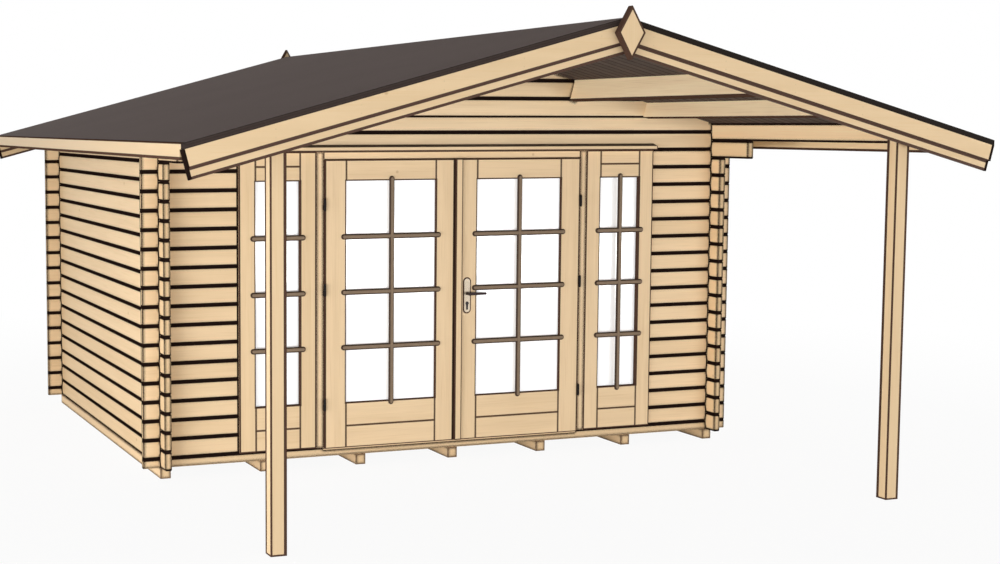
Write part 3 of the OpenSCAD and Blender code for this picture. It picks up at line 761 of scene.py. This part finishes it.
def metal(name, colour, roughness, metallic, specular=0.5, rim=None):
    """Satin metal with a slightly worn tone, and a dark rim where one is given."""
    shader = Shader(name)
    wear = shader.noise(shader.coords(), 90.0, 3.0)
    paler = tuple(min(1.0, 1.3 * c) for c in colour)
    body = shader.mix(wear, colour, paler)
    if rim is not None:
        body = shader.mix(shader.edges(REACH_PLATE), body, rim)
    shader.bump(wear, 0.03)
    return shader.finish(body, roughness, specular, metallic)


def pane_glass():
    """White glass with a faint ripple that glows a little: painted light that keeps it white in the
    roof's shade.
    """
    shader = Shader("pane_glass")
    ripple = shader.noise(shader.coords(), 3.0, 1.0)
    shader.bump(ripple, 0.02, 0.002)
    tint = shader.mix(ripple, PANE_WHITE, PANE_PALE)
    shader.put(shader.surface.inputs["Coat Weight"], 0.3)
    shader.put(shader.surface.inputs["Coat Roughness"], 0.03)
    # A faint glow of the panes: painted light, not a lamp
    shader.put(shader.surface.inputs["Emission Color"], WHITE)
    shader.put(shader.surface.inputs["Emission Strength"], 0.35)
    return shader.finish(tint, 0.12, specular=0.5)


def paint(material, *nodes):
    """Gives one material to some of the CAD nodes."""
    for name in nodes:
        slots = NODES[name].data.materials
        slots.clear()
        slots.append(material)


def paint_cabin():
    """A material for every CAD node that stays in view."""
    half_course_up = LOG_BASE + HALF_COURSE
    # The tones below are darker and paler copies of one wood: painted shade for pieces the lamps light
    # most, painted light for those the roof shades
    across = log_wood("log_wood_x", 0, half_course_up, tone=WOOD_PAINTED_LIGHT)
    left = log_wood("log_wood_left", 0, half_course_up, window_ink=LEFT_WINDOW_INK, tone=WOOD_PAINTED_LIGHT)
    right = log_wood("log_wood_right", 0, half_course_up, window_ink=RIGHT_WINDOW_INK, tone=WOOD_RIGHT_PAINTED_LIGHT)
    gable = log_wood("log_wood_gable", 0, half_course_up, gable=True, tone=WOOD_DEEP_PAINTED_LIGHT)
    paint(across, "front_sill", "back_wall")
    paint(left, "front_wall_left")
    paint(right, "front_wall_right")
    paint(gable, "front_gable", "back_gable")
    paint(log_wood("log_wood_y", 1, LOG_BASE), "left_wall", "right_wall")
    top_log = log_wood("log_wood_plate", 1, LOG_BASE, tone=WOOD_PAINTED_LIGHT)
    paint(top_log, "left_wall_plate", "right_wall_plate")

    paint(beam_wood("joist_wood", 1), "floor_joists")
    paint(purlin_wood("ridge_purlin_wood", REACH_TRIM), "ridge_purlin")
    paint(purlin_wood("side_purlin_wood", REACH_SIDE_PURLIN), "side_purlins")
    verge = verge_wood()
    paint(verge, "barge_boards_front", "cap_boards_front", "barge_boards_rear", "cap_boards_rear")
    paint(diamond_wood(), "ridge_diamond_front", "ridge_diamond_rear")
    for side in ("left", "right"):
        eave = "eave_board_" + side
        paint(board_wood(eave, 1, WOOD_EAVE_PAINTED_SHADE, EAVE_LINES, lift=EAVE_PAINTED_LIGHT), eave)
        post = "post_" + side
        paint(board_wood(post, 2, WOOD_PAINTED_SHADE, POST_LINES, lift=POST_PAINTED_LIGHT), post)
        window = "window_frame_" + side
        # The right window takes the paler tone: painted light for its deeper shade under the roof
        tone = WOOD if side == "left" else WOOD_PAINTED_LIGHT
        paint(frame_wood(window, glass_of_window(side), tone), window)
        paint(frame_wood(side + "_leaf", glass_of_leaf(side)), side + "_leaf")

    paint(board_wood("door_head", 0, WOOD_PAINTED_LIGHT, HEAD_LINE), "door_head")
    paint(board_wood("threshold", 0, WOOD_PAINTED_LIGHT, THRESHOLD_LINE), "threshold")
    paint(board_wood("cover_strip", 2, WOOD_PAINTED_LIGHT, STRIP_LINE), "cover_strip")
    paint(beam_wood("jamb_wood", 2, WOOD_PAINTED_LIGHT), "door_jambs")
    paint(drip_wood(), "drip_board")

    paint(roofing("left", LEFT_VERGE_INK), "roof_cover_left")
    paint(roofing("right", RIGHT_VERGE_INK), "roof_cover_right")
    paint(pane_glass(), "window_panes", "left_leaf_pane", "right_leaf_pane")
    hinge = metal("hinge_metal", HINGE, roughness=0.60, metallic=0.0, specular=0.15)
    paint(hinge, "frame_hinges", "left_leaf_hinges", "right_leaf_hinges")
    plate = metal("plate_metal", PLATE, roughness=0.42, metallic=0.35, rim=INK_AND_SHADE_BROWN)
    paint(plate, "handle_plates")
    paint(metal("lever_metal", LEVER, roughness=0.50, metallic=0.2, specular=0.25), "lever")


# ---------------------------------------------------------------- pieces
def linked(name, data):
    """A new object in the scene."""
    made = bpy.data.objects.new(name, data)
    bpy.context.scene.collection.objects.link(made)
    return made


def mesh_data(name, mesh):
    """Mesh data made from a bmesh, with its faces turned outwards."""
    bmesh.ops.recalc_face_normals(mesh, faces=mesh.faces)
    data = bpy.data.meshes.new(name)
    mesh.to_mesh(data)
    mesh.free()
    return data


def new_piece(name, mesh, body, material):
    """Makes a bmesh a named piece that rides on a body."""
    piece = linked(name, mesh_data(name, mesh))
    piece.data.materials.append(material)
    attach(piece, body)
    return piece


def loft(mesh, loops):
    """A closed solid through loops of points with equal counts."""
    rings = [[mesh.verts.new(point) for point in loop] for loop in loops]
    count = len(rings[0])
    for first, second in zip(rings, rings[1:]):
        for i in range(count):
            j = (i + 1) % count
            mesh.faces.new((first[i], first[j], second[j], second[i]))
    mesh.faces.new(rings[0])
    mesh.faces.new(rings[-1])


def board_outline(start, width, low, high, chamfer):
    """Section of one board, chamfered along its lower edges."""
    a, b = start + BOARD_GAP / 2, start + width - BOARD_GAP / 2
    return [
        (a, high), (b, high), (b, low + chamfer),
        (b - chamfer, low), (a + chamfer, low), (a, low + chamfer),
    ]


def roof_boarding(side, material):
    """Boards from the ridge to the eave, side by side along the roof."""
    node = "roof_boards_" + side
    out = 1 if side == "right" else -1
    front, rear = span(node, 1)
    reach = sorted(abs(x) for x in span(node, 0))
    count = round((rear - front) / BOARD_W)
    width = (rear - front) / count
    mesh = bmesh.new()
    for i in range(count):
        section = board_outline(front + i * width, width, 0.0, BOARD_T, ROOF_CHAMFER)
        loft(mesh, [
            [(out * x, y, RIDGE_Z - x * math.tan(PITCH) + v / math.cos(PITCH)) for y, v in section]
            for x in reach
        ])
    piece = new_piece("roof_boarding_" + side, mesh, "cabin", material)
    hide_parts(node)


def floor_boards(material):
    """Boards side by side across the joists, chamfered along their upper edges."""
    low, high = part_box("floor_deck")
    count = round((high.y - low.y) / BOARD_W)
    width = (high.y - low.y) / count
    mesh = bmesh.new()
    for i in range(count):
        section = board_outline(low.y + i * width, width, -high.z, -low.z, FLOOR_CHAMFER)
        loft(mesh, [[(x, y, -z) for y, z in section] for x in (low.x, high.x)])
    piece = new_piece("floor_boards", mesh, "cabin", material)
    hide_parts("floor_deck")


def stadium(centre, half_length, radius, upright, steps=8):
    """Points round a bar with round ends, in x and z."""
    points = []
    for end in (1, -1):
        for i in range(steps + 1):
            turn = math.pi * (i / steps - 0.5) + (0.0 if end > 0 else math.pi)
            along = end * half_length + radius * math.cos(turn)
            across = radius * math.sin(turn)
            points.append((across, along) if upright else (along, across))
    return [(centre[0] + x, centre[1] + z) for x, z in points]


def bar_mesh(face, out, centre, half_length, upright):
    """One moulded glazing bar on a face of a frame, a little lower where it lies level.

    out is -1 to face the front and 1 to face the room.
    """
    mesh = bmesh.new()
    top = BAR_D if upright else BAR_D - BAR_STEP
    rings = ((0.0, BAR_W / 2), (BAR_STRAIGHT, BAR_W / 2), (top, BAR_FLAT / 2))
    loft(mesh, [
        [(x, face + out * depth, z) for x, z in stadium(centre, half_length, radius, upright)]
        for depth, radius in rings
    ])
    return mesh_data("bar", mesh)


def glazing_bars(name, glass_x, face, out, body, material):
    """One upright and three level bars, fused where they cross."""
    middle_x = sum(glass_x) / 2
    middle_z = sum(GLASS_Z) / 2
    half_w = (glass_x[1] - glass_x[0]) / 2 + BAR_LAP_SIDE - BAR_W / 2
    half_h = (GLASS_Z[1] - GLASS_Z[0]) / 2 + BAR_LAP_END - BAR_W / 2
    piece = linked(name, bar_mesh(face, out, (middle_x, middle_z), half_h, upright=True))
    for quarter in (1, 2, 3):
        z = GLASS_Z[0] + quarter * (GLASS_Z[1] - GLASS_Z[0]) / 4
        level = linked("bar", bar_mesh(face, out, (middle_x, z), half_w, upright=False))
        fuse(piece, level)
    piece.data.materials.append(material)
    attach(piece, body)


def fuse(piece, other):
    """Joins another solid into the piece and removes it."""
    union = piece.modifiers.new("union", "BOOLEAN")
    union.operation = "UNION"
    union.solver = "EXACT"
    union.object = other
    bpy.context.view_layer.update()
    graph = bpy.context.evaluated_depsgraph_get()
    data = bpy.data.meshes.new_from_object(piece.evaluated_get(graph))
    piece.modifiers.clear()
    piece.data = data
    bpy.data.objects.remove(other)


def all_bars():
    """Bars on both faces of every pane."""
    material = bar_wood()
    for side in ("left", "right"):
        for place, index, out in (("outside_", 0, -1), ("inside_", 1, 1)):
            window = "window_bars_" + place + side
            glazing_bars(window, glass_of_window(side), FRAME_FACES[index], out, "cabin", material)
            door = "door_bars_" + place + side
            glazing_bars(door, glass_of_leaf(side), LEAF_FACES[index], out, side + "_door", material)


def screw_head(mesh, place, out):
    """A domed screw head whose axis is y; out is -1 to face the front and 1 the rear."""
    steps = 10
    x, y, z = place
    circle = [2 * math.pi * i / steps for i in range(steps)]
    loft(mesh, [
        [
            (x + share * SCREW_R * math.cos(turn), y + out * lift, z + share * SCREW_R * math.sin(turn))
            for turn in circle
        ]
        for lift, share in SCREW_RINGS
    ])


def verge_screws(material):
    """Screws through the verge boards, in pairs along both slopes."""
    for end, out in (("front", -1), ("rear", 1)):
        caps = "cap_boards_" + end
        face_y = span(caps, 1)[0 if out < 0 else 1]
        reach = span(caps, 0)[1]
        mesh = bmesh.new()
        count = int(reach / SCREW_SPACING)
        for side in (-1, 1):
            for i in range(count):
                x = SCREW_FIRST + i * SCREW_SPACING
                slope_z = RIDGE_Z - x * math.tan(PITCH)
                for drop in SCREW_DROPS:
                    screw_head(mesh, (side * x, face_y, slope_z - drop / math.cos(PITCH)), out)
        new_piece("verge_screws_" + end, mesh, "cabin", material)


def handle_fittings(screw_metal, dark_metal):
    """Lock cylinders in the keyholes of both plates, and the plates' screws."""
    low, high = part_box("handle_plates")
    middle_x = (low.x + high.x) / 2
    key_z = sum(span("lever", 2)) / 2 - KEY_DROP
    locks = bmesh.new()
    screws = bmesh.new()
    for face, out in ((low.y, -1), (high.y, 1)):
        loft(locks, [
            [(middle_x + size * x, face + out * lift, key_z + size * z) for x, z in lock_outline()]
            for lift, size in LOCK_RINGS
        ])
        for z in (low.z + PLATE_SCREW_INSET, high.z - PLATE_SCREW_INSET):
            screw_head(screws, (middle_x, face, z), out)
    new_piece("lock_cylinders", locks, "right_door", dark_metal)
    new_piece("plate_screws", screws, "right_door", screw_metal)


def lock_outline():
    """Round head over a narrow foot, in x and z from the middle of the head."""
    steps = 12
    shoulder = math.asin(KEY_FOOT_R / KEY_HEAD_R)
    points = []
    for i in range(steps + 1):
        turn = -math.pi / 2 + shoulder + (2 * math.pi - 2 * shoulder) * i / steps
        points.append((KEY_HEAD_R * math.cos(turn), KEY_HEAD_R * math.sin(turn)))
    for i in range(steps // 2 + 1):
        turn = math.pi + math.pi * i / (steps // 2)
        foot_z = KEY_FOOT_R * math.sin(turn) - KEY_FOOT_DROP
        points.append((KEY_FOOT_R * math.cos(turn), foot_z))
    return points


def add_pieces():
    """Everything that the CAD leaves to this script."""
    boards = boarding_wood()
    roof_boarding("right", boards)
    roof_boarding("left", boards)
    floor_boards(beam_wood("floor_wood", 0, WOOD, REACH_FLOOR))
    all_bars()
    screw_metal = metal("screw_metal", SCREW, roughness=0.40, metallic=0.5)
    lock_metal = metal("lock_metal", HINGE, roughness=0.35, metallic=0.6)
    verge_screws(screw_metal)
    handle_fittings(screw_metal, lock_metal)


# ---------------------------------------------------------------- stage, light and camera
FLOOR_SIZE = 160.0
# Share of plain white in the floor near the cabin, and the distances between which it rises to 1
FLOOR_WHITE = 0.93
FLOOR_FADE = (4.5, 9.0)
AMBIENT = 0.44
CABIN_MIDDLE = (0.0, 0.0, 1.2)
CANOPY = (1.0, -1.6, 2.2)
# Name, place, width, height, watts and target of each lamp
LAMPS = (
    ("left_panel", (-10.0, -8.0, 0.4), 14.0, 0.8, 400.0, CABIN_MIDDLE),
    ("canopy_panel", (-7.0, -4.0, 0.2), 5.0, 0.4, 225.0, CANOPY),
    ("front_panel", (5.5, -11.0, 0.4), 12.0, 0.8, 530.0, CABIN_MIDDLE),
    ("right_panel", (11.0, 7.0, 2.0), 12.0, 4.0, 500.0, CABIN_MIDDLE),
    ("rear_panel", (-6.0, 13.0, 2.0), 12.0, 4.0, 400.0, CABIN_MIDDLE),
)
# The camera turns right from +Y and looks down
CAMERA_PLACE = (-4.6873, -10.698, 2.2369)
CAMERA_TURN = math.radians(19.934)
CAMERA_DOWN = math.radians(5.327)
CAMERA_LENS = 59.94
CAMERA_SENSOR = 36.0
CAMERA_SHIFT = (0.1903, -0.0019)
CAMERA_FAR = 200.0


def is_seen(tree):
    """1 for the rays that show the background: straight, mirrored or through glass."""
    rays = tree.nodes.new("ShaderNodeLightPath")
    shown = rays.outputs["Is Camera Ray"]
    for name in ("Is Glossy Ray", "Is Transmission Ray"):
        either_ray = tree.nodes.new("ShaderNodeMath")
        either_ray.operation = "MAXIMUM"
        tree.links.new(shown, either_ray.inputs[0])
        tree.links.new(rays.outputs[name], either_ray.inputs[1])
        shown = either_ray.outputs[0]
    return shown


def stage_floor():
    """A white floor that keeps a soft trace of the cabin's shadow."""
    bpy.ops.mesh.primitive_plane_add(size=FLOOR_SIZE, location=(0.0, 0.0, 0.0))
    floor = bpy.context.object
    floor.name = "stage_floor"
    shader = Shader("stage_floor")
    shader.finish(FLOOR_TONE, 0.9)
    glow = shader.add("ShaderNodeEmission")
    shader.put(glow.inputs["Color"], WHITE)
    mix = shader.add("ShaderNodeMixShader")
    away = shader.add("ShaderNodeVectorMath", operation="LENGTH")
    shader.put(away.inputs[0], shader.coords())
    fade = shader.ramp(away.outputs["Value"], *FLOOR_FADE)
    share = shader.math("ADD", FLOOR_WHITE, shader.math("MULTIPLY", fade, 1.0 - FLOOR_WHITE))
    shader.put(mix.inputs[0], shader.math("MULTIPLY", is_seen(shader.tree), share))
    shader.put(mix.inputs[1], shader.surface.outputs[0])
    shader.put(mix.inputs[2], glow.outputs[0])
    shader.put(shader.tree.nodes["Material Output"].inputs["Surface"], mix.outputs[0])
    floor.data.materials.append(shader.material)


def studio_world():
    """Even light all round, white where it is seen."""
    world = bpy.data.worlds.new("studio")
    bpy.context.scene.world = world
    world.use_nodes = True
    tree = world.node_tree
    light = tree.nodes["Background"]
    light.inputs["Color"].default_value = (*WHITE, 1.0)
    light.inputs["Strength"].default_value = AMBIENT
    white = tree.nodes.new("ShaderNodeBackground")
    white.inputs["Color"].default_value = (*WHITE, 1.0)
    white.inputs["Strength"].default_value = 1.0
    mix = tree.nodes.new("ShaderNodeMixShader")
    tree.links.new(is_seen(tree), mix.inputs[0])
    tree.links.new(light.outputs[0], mix.inputs[1])
    tree.links.new(white.outputs[0], mix.inputs[2])
    tree.links.new(mix.outputs[0], tree.nodes["World Output"].inputs["Surface"])


def panel_light(name, place, width, height, watts, target):
    """A soft rectangular lamp that faces the cabin and is not seen itself."""
    data = bpy.data.lights.new(name, "AREA")
    data.shape = "RECTANGLE"
    data.size = width
    data.size_y = height
    data.energy = watts
    light = linked(name, data)
    light.location = place
    light.visible_camera = False
    light.rotation_euler = (Vector(target) - Vector(place)).to_track_quat("-Z", "Y").to_euler()


def make_camera():
    """The view of the drawing, framed a little wider."""
    data = bpy.data.cameras.new("camera")
    data.sensor_width = CAMERA_SENSOR
    data.lens = CAMERA_LENS
    data.shift_x, data.shift_y = CAMERA_SHIFT
    data.clip_end = CAMERA_FAR
    camera = linked("camera", data)
    camera.location = CAMERA_PLACE
    level = math.cos(CAMERA_DOWN)
    sight = Vector((
        math.sin(CAMERA_TURN) * level,
        math.cos(CAMERA_TURN) * level,
        -math.sin(CAMERA_DOWN),
    ))
    camera.rotation_euler = sight.to_track_quat("-Z", "Y").to_euler()
    bpy.context.scene.camera = camera


paint_cabin()
add_pieces()
stage_floor()
studio_world()
for lamp in LAMPS:
    panel_light(*lamp)
make_camera()
bpy.context.scene.view_settings.view_transform = "Standard"
